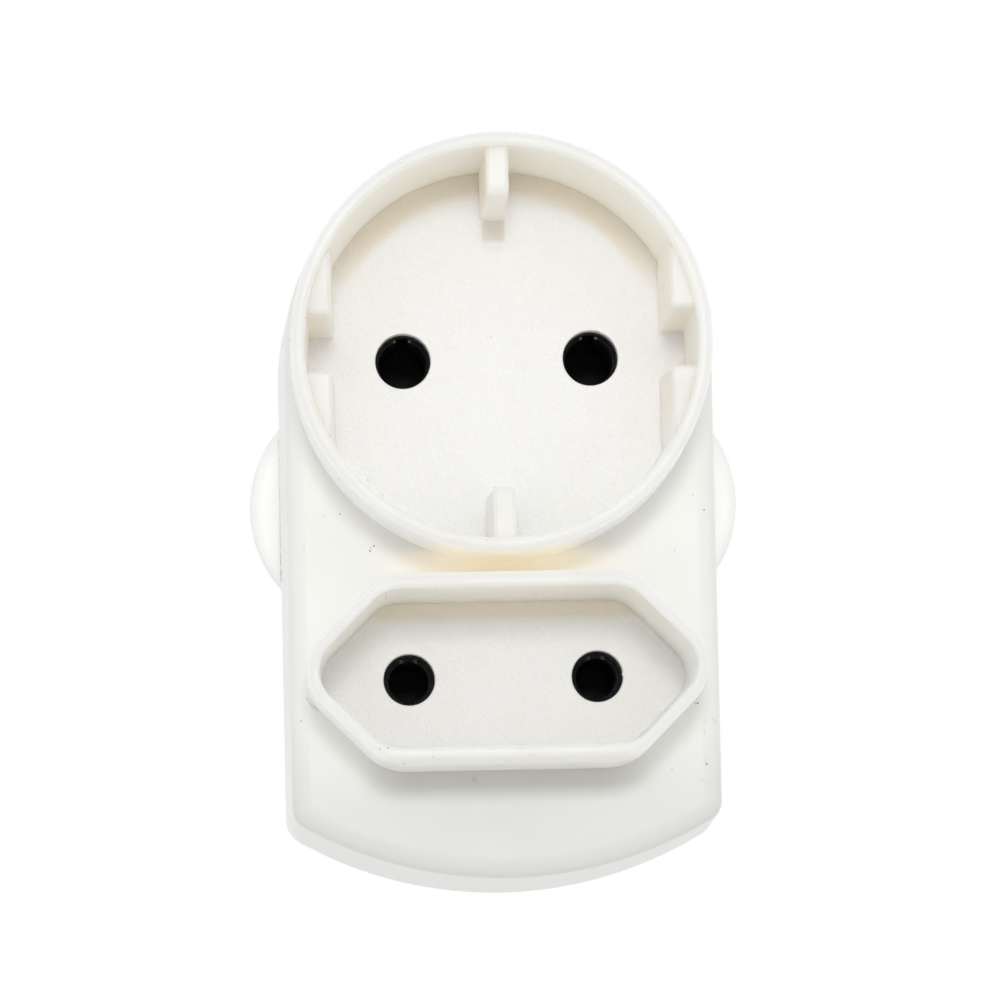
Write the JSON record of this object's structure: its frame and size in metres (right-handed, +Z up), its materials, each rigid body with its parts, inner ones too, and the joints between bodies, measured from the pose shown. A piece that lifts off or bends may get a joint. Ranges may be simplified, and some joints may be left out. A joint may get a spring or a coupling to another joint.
{
  "type": "two-way plug adapter",
  "caption": "Unearthed mains adapter: a round recessed socket above a flat hexagonal two-pin socket in one white housing, with finger grips and a plug behind.",
  "frame": {"origin": "between the two plug pins, on the plug face", "axes": "+Z up with the round socket on top, +Y the way the plug pins point, into the wall, +X to the right of a person who faces the sockets"},
  "size_m": [0.0506, 0.0766, 0.0754],
  "materials": {
    "white_plastic": "satin moulded plastic, warm white, finely stippled in the socket floors",
    "black_plastic": "moulded thermoset, matt",
    "pressboard": "black vulcanised fibre sheet, matt",
    "brass": "stamped brass, slightly tarnished",
    "spring_steel": "tempered spring steel",
    "zinc_steel": "zinc plated steel",
    "nickel": "nickel plated brass"
  },
  "bodies": {
    "root": {"front_housing": "white_plastic", "rear_cover": "white_plastic", "contact_carrier": "black_plastic", "insulating_sheet": "pressboard", "upper_screw": "zinc_steel", "lower_screw": "zinc_steel", "left_plug_pin": "nickel", "right_plug_pin": "nickel", "left_pole_strip": "brass", "right_pole_strip": "brass", "upper_left_contact": "brass", "upper_left_clamp_spring": "spring_steel", "upper_left_rivet": "brass", "upper_right_contact": "brass", "upper_right_clamp_spring": "spring_steel", "upper_right_rivet": "brass", "lower_left_contact": "brass", "lower_left_clamp_spring": "spring_steel", "lower_left_rivet": "brass", "lower_right_contact": "brass", "lower_right_clamp_spring": "spring_steel", "lower_right_rivet": "brass"}
  },
  "joints": []
}
